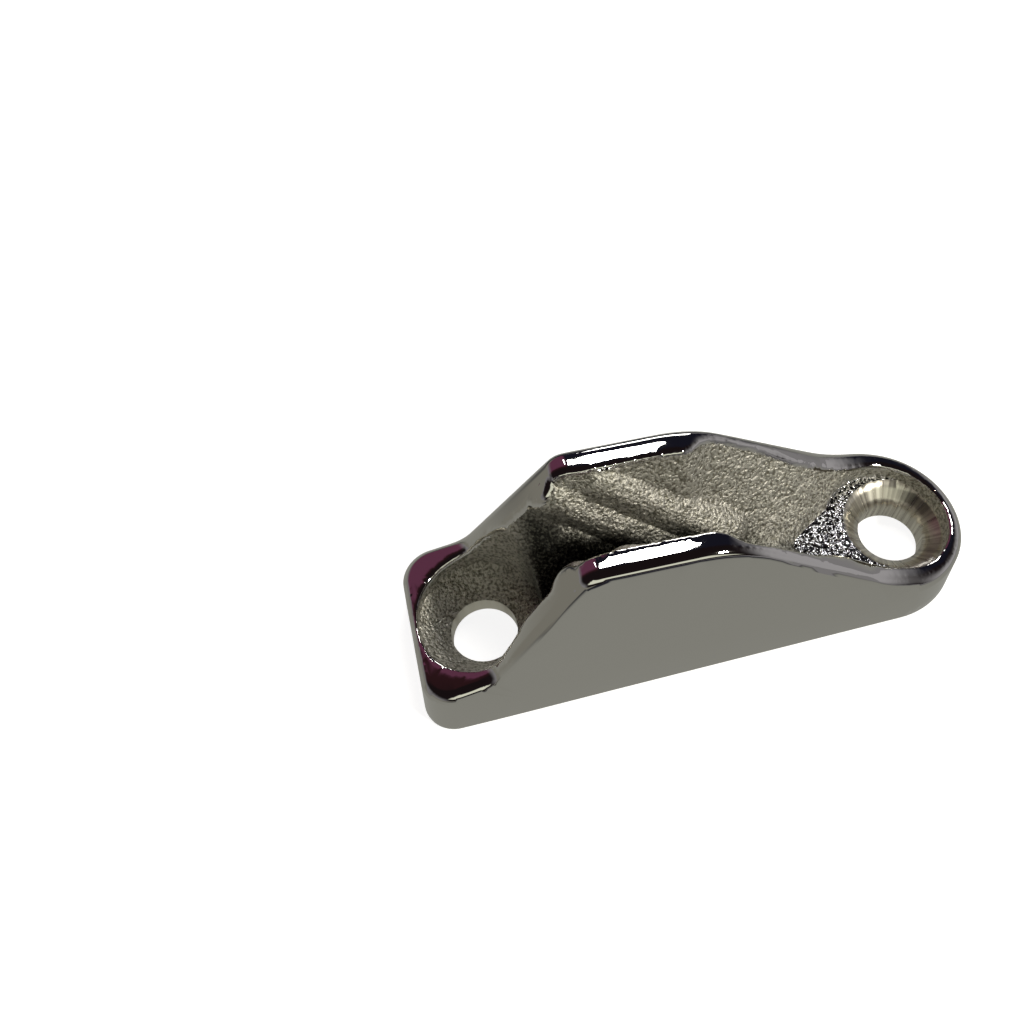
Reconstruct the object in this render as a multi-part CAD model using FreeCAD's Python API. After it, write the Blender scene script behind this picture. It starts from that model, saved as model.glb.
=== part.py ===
import FreeCAD
import Part
import math
import os
from FreeCAD import Vector

# A small jam cleat for 3 to 6 mm line, cast in stainless steel as one piece.
# X runs along the cleat: the square end is at -X and the round end at +X.
# Y runs across it and Z goes up. The origin is the middle of the base.
# All sizes are in millimetres.

# Base outline
base_length = 48.3
base_width = 14.8
square_corner_radius = 2.6
side_lean = 0.113          # how far a side leans inwards for each mm of height
base_edge_bevel = 0.3

# Screw holes
hole_spacing = 36.6
square_end_to_hole = 6.15
hole_diameter = 5.6
hole_straight_wall = 1.7   # height of the straight part of each hole
countersink_angle = 90.0
screw_head_room = 10.2     # round opening above the countersink at the square end

# Side view: heights of the upper outline where it meets the sides
square_tip_height = 4.25
ramp_foot_x = -18.3
ramp_foot_height = 5.5
ramp_foot_radius = 2.6
shoulder_x = -10.3
crest_height = 16.5
shoulder_radius = 1.8
crest_end_x = 0.6
crest_end_height = 16.0
crest_end_radius = 10.0
run_out_x = 15.8
run_out_height = 4.8
run_out_radius = 14.0
round_tip_height = 4.0

# Rails: the bevel and the rounding between a side and the polished top
edge_bevel = 0.5
rail_round = 1.0

# Rope channel
rail_widths = [            # place along X, width from a side to the channel at the rail's top
    (-0.8, 2.05),
    (1.8, 0.9),            # the rail narrows at once where the scoop opens
    (6.0, 1.1),
    (10.5, 1.8),
]
channel_bottom_height = 4.8
bottom_fall_start_x = 1.0  # from here to the round end the bottom falls away
bottom_fall_rate = 0.0025
valley_roundness = 0.35
scoop_roundness = 1.5      # the channel opens into a wide scoop at the round end
scoop_start_x = 0.0
scoop_end_x = 11.0

# Bay inside the rim at the round end
bay_floor_height = 3.4
bay_diameter = 10.2
bay_center_x = 17.5

# Flutes: rounded ridges on both channel walls, slanting down towards the round end
ridge_slant = 1.15         # how far a ridge moves along X for each mm it goes down
ridge_level = 11.0         # height at which the ridges' places along X are given
ridge_radius = 2.5
ridge_stand_out = 0.55     # how far a ridge stands out from the wall at its upper end
ridge_stand_out_low = 1.0
ridge_spacing = 4.2        # along X
first_ridge_x = -11.5
ridge_spans = [(9.8, 6.2), (13.8, 6.0), (14.4, 5.8)]  # heights of each ridge's two ends

# Recess under the base
recess_length = 23.4
recess_width = 11.4
recess_depth = 2.0
recess_corner_radius = 1.2
square_end_to_recess = 13.1

half_length = base_length / 2
half_width = base_width / 2
round_center_x = half_length - half_width
square_hole_x = -half_length + square_end_to_hole
round_hole_x = square_hole_x + hole_spacing
block_height = crest_height + 2.5
clear = 5.0                # how far a cutter reaches past the surface it cuts
above_rail = 2.5           # how far the channel's cutter reaches above the rails
channel_columns = 44       # points that carry the channel's surface, along and across
channel_rows = 12

upper_corners = [
    (-half_length, square_tip_height),
    (ramp_foot_x, ramp_foot_height),
    (shoulder_x, crest_height),
    (crest_end_x, crest_end_height),
    (run_out_x, run_out_height),
    (half_length, round_tip_height),
]
upper_radii = [ramp_foot_radius, shoulder_radius, crest_end_radius, run_out_radius]


def outline_at(height):
    """Outline of the leaning sides at a height, seen from above."""
    inset = side_lean * height
    side = half_width - inset
    square = inset - half_length
    corner = square + square_corner_radius
    offset = square_corner_radius * (1 - math.sqrt(0.5))
    low, high = Vector(corner, -side, height), Vector(corner, side, height)
    end_low = Vector(square, square_corner_radius - side, height)
    end_high = Vector(square, side - square_corner_radius, height)
    round_low, round_high = Vector(round_center_x, -side, height), Vector(round_center_x, side, height)
    edges = [
        Part.LineSegment(low, round_low).toShape(),
        Part.Arc(round_low, Vector(round_center_x + side, 0, height), round_high).toShape(),
        Part.LineSegment(round_high, high).toShape(),
        Part.Arc(high, Vector(square + offset, side - offset, height), end_high).toShape(),
        Part.LineSegment(end_high, end_low).toShape(),
        Part.Arc(end_low, Vector(square + offset, offset - side, height), low).toShape(),
    ]
    return Part.Wire(edges)


def rounded_path(points, radii):
    """Edges of an open path in the XZ plane whose inner corners are arcs."""
    edges = []
    start = points[0]
    for before, corner, after, radius in zip(points, points[1:], points[2:], radii):
        back = (before - corner).normalize()
        ahead = (after - corner).normalize()
        half_angle = back.getAngle(ahead) / 2
        reach = radius / math.tan(half_angle)
        arc_start = corner + back * reach
        arc_end = corner + ahead * reach
        middle = (back + ahead).normalize()
        arc_middle = corner + middle * (radius / math.sin(half_angle) - radius)
        edges.append(Part.LineSegment(start, arc_start).toShape())
        edges.append(Part.Arc(arc_start, arc_middle, arc_end).toShape())
        start = arc_end
    edges.append(Part.LineSegment(start, points[-1]).toShape())
    return edges


def side_view_block():
    """Solid below the upper outline, wider than the cleat and open at both ends."""
    path = [Vector(x, 0, z + edge_bevel) for x, z in upper_corners]
    for end, inner in ((0, 1), (-1, -2)):
        path[end] = path[end] + (path[end] - path[inner]).normalize() * clear
    top = rounded_path(path, upper_radii)
    low_last = Vector(path[-1].x, 0, 0)
    low_first = Vector(path[0].x, 0, 0)
    frame = [
        Part.LineSegment(path[-1], low_last).toShape(),
        Part.LineSegment(low_last, low_first).toShape(),
        Part.LineSegment(low_first, path[0]).toShape(),
    ]
    face = Part.Face(Part.Wire(top + frame))
    face.translate(Vector(0, -base_width, 0))
    return face.extrude(Vector(0, 2 * base_width, 0))


def smooth(value):
    """Soft step from 0 to 1."""
    t = min(max(value, 0.0), 1.0)
    return t * t * (3 - 2 * t)


def rail_height(x):
    """Height of the rail at a place along X, with the corners evened out."""
    total = 0.0
    samples = [-1.6, -0.8, 0.0, 0.8, 1.6]
    for step in samples:
        place = min(max(x + step, -half_length), half_length)
        for (x0, z0), (x1, z1) in zip(upper_corners, upper_corners[1:]):
            if x0 <= place <= x1:
                total += z0 + (z1 - z0) * (place - x0) / (x1 - x0)
                break
    return total / len(samples) + edge_bevel


def rail_width(x):
    """Width of the rail at a place along X, changing softly between the given places."""
    if x <= rail_widths[0][0]:
        return rail_widths[0][1]
    for (x0, width0), (x1, width1) in zip(rail_widths, rail_widths[1:]):
        if x <= x1:
            return width0 + (width1 - width0) * smooth((x - x0) / (x1 - x0))
    return rail_widths[-1][1]


def channel_shape(x):
    """Bottom and rail heights, half width at the rails and roundness at a place along X."""
    fall = max(x - bottom_fall_start_x, 0.0)
    bottom = channel_bottom_height - bottom_fall_rate * fall ** 3
    rail = rail_height(x)
    width = half_width - side_lean * rail - rail_width(x)
    openness = smooth((x - scoop_start_x) / (scoop_end_x - scoop_start_x))
    return bottom, rail, width, valley_roundness + (scoop_roundness - valley_roundness) * openness


def channel_wall(x, s):
    """Point on the channel's surface; s is 0 at the bottom and 1 or -1 at the rails."""
    bottom, rail, width, roundness = channel_shape(x)
    y = width * s * math.sqrt((s * s + roundness) / (1 + roundness))
    return Vector(x, y, bottom + (rail - bottom) * s * s)


def channel_cutter():
    """Solid of the rope channel without its flutes, closed above the rails."""
    grid = []
    for column in range(channel_columns + 1):
        x = square_hole_x + (bay_center_x - square_hole_x) * column / channel_columns
        bottom, rail, width, roundness = channel_shape(x)
        reach = math.sqrt((rail + above_rail - bottom) / (rail - bottom))
        grid.append([channel_wall(x, reach * row / channel_rows)
                     for row in range(-channel_rows, channel_rows + 1)])
    surface = Part.BSplineSurface()
    surface.interpolate(grid)
    walls = surface.toShape()
    ends = []
    rims = []
    for edge in walls.Edges:
        first, last = edge.Vertexes[0].Point, edge.Vertexes[-1].Point
        if abs(first.x - last.x) < 0.001:
            ends.append(Part.Face(Part.Wire([edge, Part.LineSegment(first, last).toShape()])))
        else:
            rims.append(edge)
    lid = Part.makeRuledSurface(rims[0], rims[1])
    shell = Part.Shell([walls, lid] + ends)
    shell.sewShape()
    return Part.Solid(shell)


def ridge_end(x_at_level, z, stand_out):
    """Middle of a ridge's rounded end, behind the channel wall at +Y."""
    x = x_at_level - ridge_slant * (z - ridge_level)
    bottom, rail, width, roundness = channel_shape(x)
    wall = channel_wall(x, math.sqrt((z - bottom) / (rail - bottom)))
    return Vector(x, wall.y + ridge_radius - stand_out, z)


def ridges():
    """Round bars with ball ends: the flutes of both walls."""
    bars = []
    for number, (top, low) in enumerate(ridge_spans):
        x = first_ridge_x + number * ridge_spacing
        start = ridge_end(x, top, ridge_stand_out)
        end = ridge_end(x, low, ridge_stand_out_low)
        bar = Part.makeCylinder(ridge_radius, (end - start).Length, start, end - start)
        bar = bar.fuse([Part.makeSphere(ridge_radius, start), Part.makeSphere(ridge_radius, end)])
        bars += [bar, bar.mirror(Vector(0, 0, 0), Vector(0, 1, 0))]
    return bars


def screw_hole(x):
    """Straight hole with its countersink, as wide at the top as a screw's head needs."""
    radius = hole_diameter / 2
    cone_height = (screw_head_room / 2 - radius) / math.tan(math.radians(countersink_angle / 2))
    hole = Part.makeCylinder(radius, hole_straight_wall + 2 * clear, Vector(x, 0, -clear))
    cone = Part.makeCone(radius, screw_head_room / 2, cone_height, Vector(x, 0, hole_straight_wall))
    room = Part.makeCylinder(screw_head_room / 2, block_height, Vector(x, 0, hole_straight_wall + cone_height))
    return hole.fuse([cone, room])


def base_recess():
    """Shallow rectangular recess under the base."""
    start = Vector(-half_length + square_end_to_recess, -recess_width / 2, -clear)
    box = Part.makeBox(recess_length, recess_width, recess_depth + clear, start)
    upright = [edge for edge in box.Edges if abs(edge.tangentAt(edge.FirstParameter).z) > 0.99]
    return box.makeFillet(recess_corner_radius, upright)


def edges_between(body, lower, upper):
    """Edges shared by a face of one kind and a face of another kind."""
    found = []
    for edge in body.Edges:
        faces = body.ancestorsOfType(edge, Part.Face)
        if any(lower(face) for face in faces) and any(upper(face) for face in faces):
            found.append(edge)
    return found


def is_side(face):
    return face.BoundBox.ZMin < 0.001 and face.BoundBox.ZMax > 1.0


def is_top(face):
    return face.BoundBox.ZMin > 1.0


def is_base(face):
    return face.BoundBox.ZMax < 0.001


def is_upper(face):
    """True for the flat and rolled faces of the upper outline, not the bevels round them."""
    return is_top(face) and not isinstance(face.Surface, Part.BSplineSurface)


def is_bevel(face):
    return is_top(face) and isinstance(face.Surface, Part.BSplineSurface)


blank = Part.makeLoft([outline_at(0), outline_at(block_height)], True, True)
body = blank.common(side_view_block()).Solids[0]
body = body.makeChamfer(edge_bevel, edges_between(body, is_side, is_top))
body = body.makeFillet(rail_round, edges_between(body, is_upper, is_bevel))
body = body.makeChamfer(base_edge_bevel, edges_between(body, is_base, is_side))

above_floor = Part.makeBox(2 * base_length, 2 * base_width, block_height,
                           Vector(-base_length, -base_width, bay_floor_height))
bay = Part.makeCylinder(bay_diameter / 2, block_height, Vector(bay_center_x, 0, bay_floor_height))
inside_rim = Part.makeCylinder(bay_diameter / 2, block_height, Vector(bay_center_x, 0, -clear))
round_hole = screw_hole(round_hole_x).common(inside_rim)
channel = channel_cutter().common(above_floor).cut(ridges())
body = body.cut(channel)
body = body.cut([bay, screw_hole(square_hole_x), round_hole, base_recess()])
body = body.removeSplitter().Solids[0]

os.makedirs("parts", exist_ok=True)
body.exportStep("parts/cleat_body.step")
size = body.BoundBox
print("cleat_body", "valid" if body.isValid() else "not valid", "volume", round(body.Volume, 1), "box",
      [round(value, 3) for value in (size.XLength, size.YLength, size.ZLength)], "faces", len(body.Faces))
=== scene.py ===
import math
import bpy
import bmesh
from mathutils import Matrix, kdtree, noise


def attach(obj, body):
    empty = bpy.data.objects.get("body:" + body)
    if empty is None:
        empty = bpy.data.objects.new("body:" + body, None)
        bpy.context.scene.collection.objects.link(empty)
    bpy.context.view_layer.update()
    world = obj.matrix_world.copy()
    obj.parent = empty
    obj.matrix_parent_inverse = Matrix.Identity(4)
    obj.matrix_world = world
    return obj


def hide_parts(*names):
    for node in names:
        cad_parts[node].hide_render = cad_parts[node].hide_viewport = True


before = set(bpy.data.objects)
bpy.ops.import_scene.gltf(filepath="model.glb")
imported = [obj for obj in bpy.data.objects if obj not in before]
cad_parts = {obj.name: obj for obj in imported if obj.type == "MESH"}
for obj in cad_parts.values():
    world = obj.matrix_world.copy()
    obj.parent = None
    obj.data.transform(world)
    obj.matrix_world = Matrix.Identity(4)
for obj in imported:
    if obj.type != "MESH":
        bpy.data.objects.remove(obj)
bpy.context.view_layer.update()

# Camera at the photograph's angle: above the near side, looking along the cleat from its square end.
# Its place, turn and lens were worked out from the outline and the two screw holes.
lens_data = bpy.data.cameras.new("product_camera")
lens_data.lens = 30.505
lens_data.sensor_width = 36.0
lens_data.shift_x = -0.0664
lens_data.shift_y = 0.0469
lens_data.clip_start = 0.001
product_camera = bpy.data.objects.new("product_camera", lens_data)
product_camera.location = (-0.016811, -0.030730, 0.068422)
product_camera.rotation_euler = [math.radians(turn) for turn in (28.400, 0.740, -14.556)]
bpy.context.scene.collection.objects.link(product_camera)
bpy.context.scene.camera = product_camera


# Studio: a pale floor and a white room, as the photograph's cut-out ground shows them.
# Dark flags stand round the cleat, and a glowing grey sheet of painted floor shade lies under it,
# outside the camera's sight, for the polish to mirror.
def linear(hex_colour):
    """Linear colour with alpha from an sRGB hex value."""
    shares = [int(hex_colour[place:place + 2], 16) / 255 for place in (1, 3, 5)]
    return [share / 12.92 if share <= 0.04045 else ((share + 0.055) / 1.055) ** 2.4
            for share in shares] + [1.0]


def add_node(tree, kind, inputs=None, **settings):
    """Add a node, set its properties, and set or link its sockets."""
    node = tree.nodes.new(kind)
    for name, value in settings.items():
        setattr(node, name, value)
    for socket, value in (inputs or {}).items():
        if isinstance(value, bpy.types.NodeSocket):
            tree.links.new(value, node.inputs[socket])
        else:
            node.inputs[socket].default_value = value
    return node


def blend(tree, share, first, second):
    """Colour that goes from the first to the second as the share goes from 0 to 1."""
    node = add_node(tree, "ShaderNodeMix", {0: share}, data_type="RGBA")
    for socket, value in ((6, first), (7, second)):
        if isinstance(value, bpy.types.NodeSocket):
            tree.links.new(value, node.inputs[socket])
        else:
            node.inputs[socket].default_value = value
    return node.outputs[2]


def soft_step(tree, value, low, high):
    """Share that goes softly from 0 at one value to 1 at the other."""
    return add_node(tree, "ShaderNodeMapRange", {"Value": value, "From Min": low, "From Max": high},
                    interpolation_type="SMOOTHSTEP").outputs[0]


def clear_sight(tree):
    """Share that is 1 for rays from the camera and for those that polish or glass send on."""
    path = add_node(tree, "ShaderNodeLightPath")
    sharp_ray = add_node(tree, "ShaderNodeMath",
                         {0: path.outputs["Is Camera Ray"], 1: path.outputs["Is Glossy Ray"]},
                         operation="MAXIMUM")
    return add_node(tree, "ShaderNodeMath",
                    {0: sharp_ray.outputs[0], 1: path.outputs["Is Transmission Ray"]},
                    operation="MAXIMUM").outputs[0]


room = bpy.data.worlds.new("white_room")
room.use_nodes = True
bpy.context.scene.world = room
tree = room.node_tree
tree.nodes.clear()
white = add_node(tree, "ShaderNodeBackground", {"Color": (1, 1, 1, 1), "Strength": 1.0})
grey = add_node(tree, "ShaderNodeBackground", {"Color": linear("#8A8887"), "Strength": 1.0})
seen = add_node(tree, "ShaderNodeMixShader",
                {0: clear_sight(tree), 1: grey.outputs[0], 2: white.outputs[0]})
add_node(tree, "ShaderNodeOutputWorld", {"Surface": seen.outputs[0]})

# The floor and the painted floor shade on it lie just under the base, so that nothing shows through the
# cleat.
floor_size = 1.6
floor_height = -0.00004
shade_sheet_height = -0.00002
bpy.ops.object.select_all(action="DESELECT")
bpy.ops.mesh.primitive_plane_add(size=floor_size, location=(0, 0, floor_height))
floor = bpy.context.object
floor.name = "pale_floor"
floor_paper = bpy.data.materials.new("matt_floor_paper")
floor_paper.use_nodes = True
tree = floor_paper.node_tree
tree.nodes.clear()
paper = add_node(tree, "ShaderNodeBsdfDiffuse", {"Color": linear("#B8B7B2")})
bright = add_node(tree, "ShaderNodeEmission", {"Color": (1, 1, 1, 1), "Strength": 0.88})
lit = add_node(tree, "ShaderNodeAddShader", {0: paper.outputs[0], 1: bright.outputs[0]})
seen = add_node(tree, "ShaderNodeMixShader",
                {0: clear_sight(tree), 1: paper.outputs[0], 2: lit.outputs[0]})
add_node(tree, "ShaderNodeOutputMaterial", {"Surface": seen.outputs[0]})
floor.data.materials.append(floor_paper)

# Painted floor shade: a glowing grey sheet on the floor, seen only by the polish, in place of the
# floor's shade.
# It gives the low sides their even warm grey, darkens to both sides of the cleat, and turns light grey
# beyond its ends.
bpy.ops.object.select_all(action="DESELECT")
bpy.ops.mesh.primitive_plane_add(size=floor_size, location=(0, 0, shade_sheet_height))
floor_shade_sheet = bpy.context.object
floor_shade_sheet.name = "floor_shade_sheet"
shade_sheet_glow = bpy.data.materials.new("glowing_grey_shade")
shade_sheet_glow.use_nodes = True
tree = shade_sheet_glow.node_tree
tree.nodes.clear()
place = add_node(tree, "ShaderNodeTexCoord")
spot = add_node(tree, "ShaderNodeSeparateXYZ", {0: place.outputs["Object"]})
distance = add_node(tree, "ShaderNodeMath", {0: spot.outputs["Y"]}, operation="ABSOLUTE")
tone = blend(tree, soft_step(tree, distance.outputs[0], 0.02, 0.05),
             linear("#9A9A94"), linear("#2A2A33"))
tone = blend(tree, soft_step(tree, spot.outputs["X"], 0.03, 0.09), tone, linear("#8F8D90"))
tone = blend(tree, soft_step(tree, spot.outputs["X"], -0.03, -0.08), tone, linear("#8A8880"))
glow = add_node(tree, "ShaderNodeEmission", {"Color": tone, "Strength": 1.0})
add_node(tree, "ShaderNodeOutputMaterial", {"Surface": glow.outputs[0]})
floor_shade_sheet.data.materials.append(shade_sheet_glow)

# Flags: a dark dome, blue-black beyond the round end, brown-black over the square end, grey low down.
# A cream card low in front of the near side draws the pale line along the rail's outer edge.
bpy.ops.object.select_all(action="DESELECT")
bpy.ops.mesh.primitive_uv_sphere_add(segments=64, ring_count=32, radius=0.75, location=(0, 0, 0))
dark_flags = bpy.context.object
dark_flags.name = "dark_flags"
flag_cloth = bpy.data.materials.new("dark_flag_cloth")
flag_cloth.use_nodes = True
tree = flag_cloth.node_tree
tree.nodes.clear()
place = add_node(tree, "ShaderNodeTexCoord")
way = add_node(tree, "ShaderNodeVectorMath", {0: place.outputs["Object"]}, operation="NORMALIZE")
spot = add_node(tree, "ShaderNodeSeparateXYZ", {0: way.outputs[0]})
maroon = blend(tree, soft_step(tree, spot.outputs["Y"], 0.37, 0.47),
               linear("#331C20"), linear("#6A3C54"))
tone = blend(tree, soft_step(tree, spot.outputs["X"], -0.02, 0.12), maroon, linear("#1B1B27"))
tone = blend(tree, soft_step(tree, spot.outputs["Y"], 0.40, 0.15), tone, linear("#1D1618"))
low_right = add_node(tree, "ShaderNodeMath",
                     {0: soft_step(tree, spot.outputs["X"], 0.70, 0.95),
                      1: soft_step(tree, spot.outputs["Z"], 0.75, 0.05)}, operation="MULTIPLY")
tone = blend(tree, low_right.outputs[0], tone, linear("#B2B0B4"))
low_left = add_node(tree, "ShaderNodeMath",
                    {0: soft_step(tree, spot.outputs["X"], -0.55, -0.85),
                     1: soft_step(tree, spot.outputs["Z"], 0.35, 0.0)}, operation="MULTIPLY")
tone = blend(tree, low_left.outputs[0], tone, linear("#8E8C90"))
cream = add_node(tree, "ShaderNodeMath",
                 {0: soft_step(tree, spot.outputs["Y"], -0.66, -0.74),
                  1: soft_step(tree, spot.outputs["Z"], 0.62, 0.58)}, operation="MULTIPLY")
cream = add_node(tree, "ShaderNodeMath",
                 {0: cream.outputs[0], 1: soft_step(tree, spot.outputs["Z"], 0.22, 0.30)},
                 operation="MULTIPLY")
tone = blend(tree, cream.outputs[0], tone, linear("#F7F8E6"))
glow = add_node(tree, "ShaderNodeEmission", {"Color": tone, "Strength": 1.0})
add_node(tree, "ShaderNodeOutputMaterial", {"Surface": glow.outputs[0]})
dark_flags.data.materials.append(flag_cloth)
for card in (floor_shade_sheet, dark_flags):
    card.visible_camera = False
    card.visible_shadow = False
floor_shade_sheet.visible_diffuse = False

# Softboxes: name, degrees from overhead and round from +X, distance, width, height, brightness, colour.
softboxes = (
    ("panel_overhead", 33.0, 63.0, 0.60, 0.12, 0.13, 20.0, "#FFFFFF"),
    ("panel_small", 33.0, 93.0, 0.60, 0.03, 0.12, 12.0, "#FFFFFF"),
    ("panel_behind", 82.0, 69.0, 0.60, 0.23, 0.13, 7.0, "#FFFFFF"),
    ("key_front", 50.0, -42.0, 0.60, 0.06, 0.06, 190.0, "#FFFBF0"),
)
for name, down, round_angle, reach, width, depth, brightness, colour in softboxes:
    lamp = bpy.data.lights.new(name, "AREA")
    lamp.shape = "RECTANGLE"
    lamp.size, lamp.size_y = width, depth
    lamp.energy = brightness * math.pi * width * depth
    lamp.color = linear(colour)[:3]
    softbox = bpy.data.objects.new(name, lamp)
    tilt, turn = math.radians(down), math.radians(round_angle)
    softbox.location = (reach * math.sin(tilt) * math.cos(turn),
                        reach * math.sin(tilt) * math.sin(turn),
                        reach * math.cos(tilt))
    softbox.rotation_euler = (-softbox.location).to_track_quat("-Z", "Y").to_euler()
    softbox.visible_camera = False
    bpy.context.scene.collection.objects.link(softbox)


# Cleat body: one investment casting in stainless steel, polished outside and left as cast inside.
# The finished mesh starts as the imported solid's own surface. Its cast faces then get a modelled grain.
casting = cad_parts["cleat_body"]
bpy.ops.object.select_all(action="DESELECT")
body_mesh = casting.data.copy()
body_mesh.name = "cleat_casting"
body = bpy.data.objects.new("cleat_casting", body_mesh)
bpy.context.scene.collection.objects.link(body)
bpy.context.view_layer.objects.active = body
body.select_set(True)

# Mirror-polished stainless steel: it shows its surroundings crisp and dark, with a faint buffing haze.
# The buffing wheel leaves very low waves, about 2.6 mm long.
polished = bpy.data.materials.new("mirror_polished_stainless_steel")
polished.use_nodes = True
tree = polished.node_tree
shader = tree.nodes["Principled BSDF"]
shader.inputs["Base Color"].default_value = linear("#CFCDC8")
shader.inputs["Metallic"].default_value = 1.0
place = add_node(tree, "ShaderNodeTexCoord")
haze = add_node(tree, "ShaderNodeTexNoise",
                {"Vector": place.outputs["Object"], "Scale": 260.0, "Detail": 2.0})
gloss = add_node(tree, "ShaderNodeMapRange",
                 {"Value": haze.outputs["Fac"], "To Min": 0.02, "To Max": 0.05})
tree.links.new(gloss.outputs[0], shader.inputs["Roughness"])
waves = add_node(tree, "ShaderNodeTexNoise",
                 {"Vector": place.outputs["Object"], "Scale": 380.0, "Detail": 1.0})
relief = add_node(tree, "ShaderNodeBump",
                  {"Height": waves.outputs["Fac"], "Strength": 0.06, "Distance": 0.00002})
tree.links.new(relief.outputs[0], shader.inputs["Normal"])

# As-cast stainless steel: a sandy skin of grains about 0.24 mm wide, khaki grey where it is open and
# high.
# Between the ridges and low in the channel it is painted near black: painted shade in the hollows, and a
# painted shadow whose edge falls lower towards the round end.
as_cast = bpy.data.materials.new("as_cast_stainless_steel")
as_cast.use_nodes = True
tree = as_cast.node_tree
shader = tree.nodes["Principled BSDF"]
shader.inputs["Metallic"].default_value = 0.85
place = add_node(tree, "ShaderNodeTexCoord")
grain = add_node(tree, "ShaderNodeTexNoise",
                 {"Vector": place.outputs["Object"], "Scale": 4200.0, "Detail": 3.0})
mottle = add_node(tree, "ShaderNodeTexNoise",
                  {"Vector": place.outputs["Object"], "Scale": 900.0, "Detail": 4.0})
spot = add_node(tree, "ShaderNodeSeparateXYZ", {0: place.outputs["Object"]})
along = add_node(tree, "ShaderNodeMath", {0: spot.outputs["X"], 1: 0.42}, operation="MULTIPLY")
climb = add_node(tree, "ShaderNodeMath", {0: spot.outputs["Z"], 1: along.outputs[0]}, operation="ADD")
uneven = add_node(tree, "ShaderNodeMath", {0: mottle.outputs["Fac"], 1: 0.003, 2: climb.outputs[0]},
                  operation="MULTIPLY_ADD")
open_sky = add_node(tree, "ShaderNodeAmbientOcclusion", {"Distance": 0.0026},
                    samples=8, only_local=True)
# Painted shade and shadow: the lit share falls away low in the channel and in the hollows that the
# occlusion node finds.
unshaded_share = add_node(tree, "ShaderNodeMath", {0: soft_step(tree, uneven.outputs[0], 0.0072, 0.0116),
                                           1: soft_step(tree, open_sky.outputs["AO"], 0.34, 0.60)},
                  operation="MULTIPLY")
# The square end's cone is kept out of the painted shade and shadow.
square_cone = soft_step(tree, spot.outputs["X"], -0.0125, -0.0145)
lit_share = add_node(tree, "ShaderNodeMath", {0: unshaded_share.outputs[0], 1: square_cone}, operation="MAXIMUM")
skin = blend(tree, soft_step(tree, grain.outputs["Fac"], 0.36, 0.58),
             linear("#8A877A"), linear("#D0CDC3"))
# Near-black painted shade colour, grained like the skin.
painted_shade_colour = blend(tree, soft_step(tree, grain.outputs["Fac"], 0.45, 0.75),
              linear("#2E2E29"), linear("#8A8A7E"))
tree.links.new(blend(tree, lit_share.outputs[0], painted_shade_colour, skin), shader.inputs["Base Color"])
gloss = add_node(tree, "ShaderNodeMapRange",
                 {"Value": grain.outputs["Fac"], "To Min": 0.28, "To Max": 0.55})
tree.links.new(gloss.outputs[0], shader.inputs["Roughness"])
relief = add_node(tree, "ShaderNodeBump",
                  {"Height": grain.outputs["Fac"], "Strength": 1.0, "Distance": 0.00016})
tree.links.new(relief.outputs[0], shader.inputs["Normal"])

# Pebbled casting floor in the bay: rounded pebbles about 0.35 mm apart, painted bright on top as painted
# highlight and near black in the gaps as painted shade.
pebbled = bpy.data.materials.new("pebbled_cast_stainless_steel")
pebbled.use_nodes = True
tree = pebbled.node_tree
shader = tree.nodes["Principled BSDF"]
shader.inputs["Metallic"].default_value = 1.0
shader.inputs["Roughness"].default_value = 0.16
place = add_node(tree, "ShaderNodeTexCoord")
pebbles = add_node(tree, "ShaderNodeTexNoise",
                   {"Vector": place.outputs["Object"], "Scale": 3700.0, "Detail": 1.0})
shade = soft_step(tree, pebbles.outputs["Fac"], 0.40, 0.56)
# Painted highlight on the pebble tops and painted shade in the gaps, set by the pebbles' height.
tree.links.new(blend(tree, shade, linear("#1A1A1C"), linear("#D8D8DA")), shader.inputs["Base Color"])
relief = add_node(tree, "ShaderNodeBump",
                  {"Height": pebbles.outputs["Fac"], "Strength": 1.0, "Distance": 0.00022})
tree.links.new(relief.outputs[0], shader.inputs["Normal"])

# Turned stainless steel of the round end's countersink: light and softly shining, with faint chatter
# marks that run down the cone towards the hole.
turned = bpy.data.materials.new("turned_stainless_steel")
turned.use_nodes = True
tree = turned.node_tree
shader = tree.nodes["Principled BSDF"]
shader.inputs["Metallic"].default_value = 0.9
place = add_node(tree, "ShaderNodeTexCoord")
round_hole_x = 0.0186
centred = add_node(tree, "ShaderNodeMapping",
                   {"Vector": place.outputs["Object"], "Location": (-round_hole_x, 0.0, 0.0)})
spot = add_node(tree, "ShaderNodeSeparateXYZ", {0: centred.outputs[0]})
round_way = add_node(tree, "ShaderNodeMath", {0: spot.outputs["Y"], 1: spot.outputs["X"]},
                     operation="ARCTAN2")
marks = add_node(tree, "ShaderNodeTexNoise",
                 {"W": round_way.outputs[0], "Scale": 9.0, "Detail": 3.0}, noise_dimensions="1D")
shade = soft_step(tree, marks.outputs["Fac"], 0.35, 0.65)
tree.links.new(blend(tree, shade, linear("#B4AFA4"), linear("#DDD9CC")), shader.inputs["Base Color"])
gloss = add_node(tree, "ShaderNodeMapRange",
                 {"Value": marks.outputs["Fac"], "To Min": 0.22, "To Max": 0.36})
tree.links.new(gloss.outputs[0], shader.inputs["Roughness"])
relief = add_node(tree, "ShaderNodeBump",
                  {"Height": marks.outputs["Fac"], "Strength": 0.15, "Distance": 0.00006})
tree.links.new(relief.outputs[0], shader.inputs["Normal"])

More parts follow.
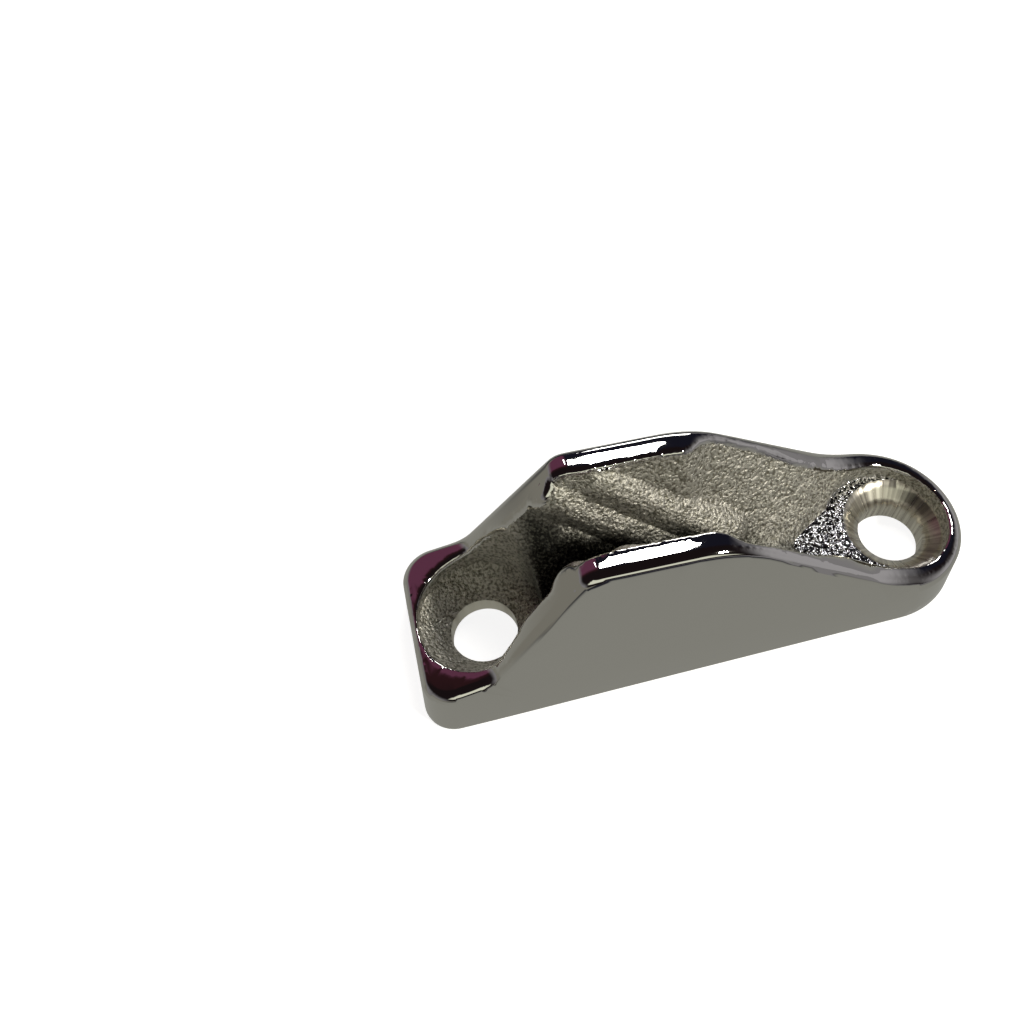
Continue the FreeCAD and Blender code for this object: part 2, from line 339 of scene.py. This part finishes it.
# Ground stainless steel of the underside: dull light grey, with grinding scratches across it.
ground = bpy.data.materials.new("ground_stainless_steel")
ground.use_nodes = True
tree = ground.node_tree
shader = tree.nodes["Principled BSDF"]
shader.inputs["Metallic"].default_value = 1.0
shader.inputs["Roughness"].default_value = 0.38
place = add_node(tree, "ShaderNodeTexCoord")
run = add_node(tree, "ShaderNodeMapping",
               {"Vector": place.outputs["Object"], "Scale": (4000.0, 160.0, 1000.0)})
scratches = add_node(tree, "ShaderNodeTexNoise", {"Vector": run.outputs[0], "Scale": 1.0, "Detail": 3.0})
tree.links.new(blend(tree, scratches.outputs["Fac"], linear("#A8A8A2"), linear("#D0D0CA")),
               shader.inputs["Base Color"])
relief = add_node(tree, "ShaderNodeBump",
                  {"Height": scratches.outputs["Fac"], "Strength": 0.3, "Distance": 0.00003})
tree.links.new(relief.outputs[0], shader.inputs["Normal"])

body_mesh.materials.clear()
for finish in (polished, as_cast, pebbled, turned, ground):
    body_mesh.materials.append(finish)
POLISHED, AS_CAST, PEBBLED, TURNED, GROUND = range(5)

# The CAD surface comes as patches that aren't joined, and each patch gets its finish by its place.
hole_top = 0.0017
hole_reach = 0.003
bay_floor = 0.0034
rail_low = 0.0140
channel_reach = 0.0054
recess_depth = 0.0020
recess_reach = 0.0058
recess_half_length = 0.014
wall_lean = 0.1
near = 0.00002
merge_distance = 1e-6

surface = bmesh.new()
surface.from_mesh(body_mesh)
unseen = set(surface.faces)
while unseen:
    first = unseen.pop()
    island = [first]
    queue = [first]
    while queue:
        for edge in queue.pop().edges:
            for other in edge.link_faces:
                if other in unseen:
                    unseen.discard(other)
                    island.append(other)
                    queue.append(other)
    corners = [vertex.co for face in island for vertex in face.verts]
    reach_y = max(abs(corner.y) for corner in corners)
    low = min(corner.z for corner in corners)
    high = max(corner.z for corner in corners)
    middle_x = sum(corner.x for corner in corners) / len(corners)
    lean = max(abs(face.normal.y) for face in island)
    finish = POLISHED
    in_recess = (low > -near and high < recess_depth + near and reach_y < recess_reach
                 and abs(middle_x) < recess_half_length)
    if high < near or in_recess:
        finish = GROUND
    elif high - low < near and abs(low - bay_floor) < near:
        finish = PEBBLED
    elif hole_top - near < low < rail_low and reach_y < channel_reach and lean > wall_lean:
        finish = AS_CAST
        if low < hole_top + near and middle_x > 0:
            finish = TURNED
    elif high < hole_top + near and reach_y < hole_reach:
        finish = TURNED
    for face in island:
        face.material_index = finish
bmesh.ops.remove_doubles(surface, verts=surface.verts, dist=merge_distance)
surface.to_mesh(body_mesh)
surface.free()

# The cast faces and the rail beside them are cut up evenly, so that the ridges and the rail's inner
# edge can be softened and the grain modelled. The flat sides stay in one piece, which keeps them true.
grain_step = 0.00017
lip_step = 0.00024
length_slack = 1.4
most_cuts = 6
lip_reach = 0.0009
side_facing = 0.9
flat_enough = 0.35


def rail_edge_points(surface):
    """Tree of the points where the polished rail meets the cast channel."""
    points = [vertex.co.copy() for vertex in surface.verts
              if {POLISHED, AS_CAST} <= {face.material_index for face in vertex.link_faces}]
    tree = kdtree.KDTree(len(points))
    for index, point in enumerate(points):
        tree.insert(point, index)
    tree.balance()
    return tree


for cut in range(most_cuts):
    surface = bmesh.new()
    surface.from_mesh(body_mesh)
    rail_edge = rail_edge_points(surface)
    long_edges = []
    for edge in surface.edges:
        finishes = {face.material_index for face in edge.link_faces}
        length = edge.calc_length()
        if finishes <= {AS_CAST, PEBBLED} or finishes == {POLISHED, AS_CAST}:
            if length > grain_step * length_slack:
                long_edges.append(edge)
        elif (finishes == {POLISHED} and length > lip_step * length_slack
              and max(abs(face.normal.y) for face in edge.link_faces) < side_facing):
            middle = (edge.verts[0].co + edge.verts[1].co) / 2
            if rail_edge.find(middle)[2] < max(lip_reach, length * 0.6):
                long_edges.append(edge)
    if not long_edges:
        surface.free()
        break
    bmesh.ops.subdivide_edges(surface, edges=long_edges, cuts=1)
    bmesh.ops.triangulate(surface, faces=[face for face in surface.faces if len(face.verts) > 3])
    inner = [edge for edge in surface.edges if len(edge.link_faces) == 2
             and edge.link_faces[0].material_index == edge.link_faces[1].material_index == AS_CAST
             and edge.calc_face_angle(9.0) < flat_enough]
    faces = list({face for edge in inner for face in edge.link_faces})
    bmesh.ops.beautify_fill(surface, faces=faces, edges=inner, method="ANGLE")
    surface.to_mesh(body_mesh)
    surface.free()

# The polish runs over the rail's inner edge and ends raggedly a little way down the channel's wall.
# The rail's inner edge is softened up to the outer part of the rail, which stays crisp.
lip_soft = 0.00085
half_width = 0.0074
side_lean = 0.113
outer_kept = 0.00065
polish_over = 0.00045
ragged_scale = 2200.0
ragged_depth = 0.00006
lowest_polish = 0.0045
surface = bmesh.new()
surface.from_mesh(body_mesh)
rail_edge = rail_edge_points(surface)
lip_index = []
for vertex in surface.verts:
    finishes = {face.material_index for face in vertex.link_faces}
    side = half_width - side_lean * vertex.co.z
    if (finishes <= {POLISHED, AS_CAST} and rail_edge.find(vertex.co)[2] < lip_soft
            and abs(vertex.co.y) < side - outer_kept):
        lip_index.append(vertex.index)
for face in surface.faces:
    if face.material_index == AS_CAST:
        middle = face.calc_center_median()
        ragged = noise.noise(middle * ragged_scale) * ragged_depth
        if middle.z > lowest_polish and rail_edge.find(middle)[2] < polish_over + ragged:
            face.material_index = POLISHED
surface.to_mesh(body_mesh)
surface.free()
group = body.vertex_groups.new(name="rail_lip")
group.add(lip_index, 1.0, "REPLACE")

# Points that the grain, the pebbles and the softening of the ridges move: all but those on a seam.
channel_start = -0.0175
channel_end = 0.0168
surface = bmesh.new()
surface.from_mesh(body_mesh)
cast_points = [vertex for vertex in surface.verts
               if all(face.material_index == AS_CAST for face in vertex.link_faces)]
cast_index = [vertex.index for vertex in cast_points]
pebble_index = [vertex.index for vertex in surface.verts
                if all(face.material_index == PEBBLED for face in vertex.link_faces)]
channel_index = [vertex.index for vertex in cast_points if channel_start < vertex.co.x < channel_end]
surface.free()
for name, points in (("cast_skin", cast_index), ("pebbled_floor", pebble_index),
                     ("channel", channel_index)):
    group = body.vertex_groups.new(name=name)
    group.add(points, 1.0, "REPLACE")

soften = body.modifiers.new("softened_ridges", "SMOOTH")
soften.factor = 0.5
soften.iterations = 8
soften.vertex_group = "channel"
bpy.ops.object.modifier_apply(modifier=soften.name)
lip = body.modifiers.new("softened_rail_edge", "SMOOTH")
lip.factor = 0.5
lip.iterations = 20
lip.vertex_group = "rail_lip"
bpy.ops.object.modifier_apply(modifier=lip.name)

# Relief: name, points moved, width of a grain and height from low to high.
reliefs = (
    ("sand_grain", "cast_skin", 0.00023, 0.00014),
    ("skin_waves", "cast_skin", 0.0011, 0.00012),
    ("pebbles", "pebbled_floor", 0.00030, 0.00016),
)
for name, group, pitch, depth in reliefs:
    clouds = bpy.data.textures.new(name, "CLOUDS")
    clouds.noise_scale = pitch
    clouds.noise_depth = 1
    skin = body.modifiers.new(name, "DISPLACE")
    skin.texture = clouds
    skin.texture_coords = "LOCAL"
    skin.strength = depth
    skin.mid_level = 0.5
    skin.vertex_group = group
    bpy.ops.object.modifier_apply(modifier=skin.name)

crease_angle = math.radians(32)
bpy.ops.object.shade_smooth_by_angle(angle=crease_angle)
evened = body.modifiers.new("evened_normals", "WEIGHTED_NORMAL")
evened.keep_sharp = True
bpy.ops.object.modifier_apply(modifier=evened.name)
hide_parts("cleat_body")
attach(body, "root")

bpy.context.scene.view_settings.view_transform = "Standard"
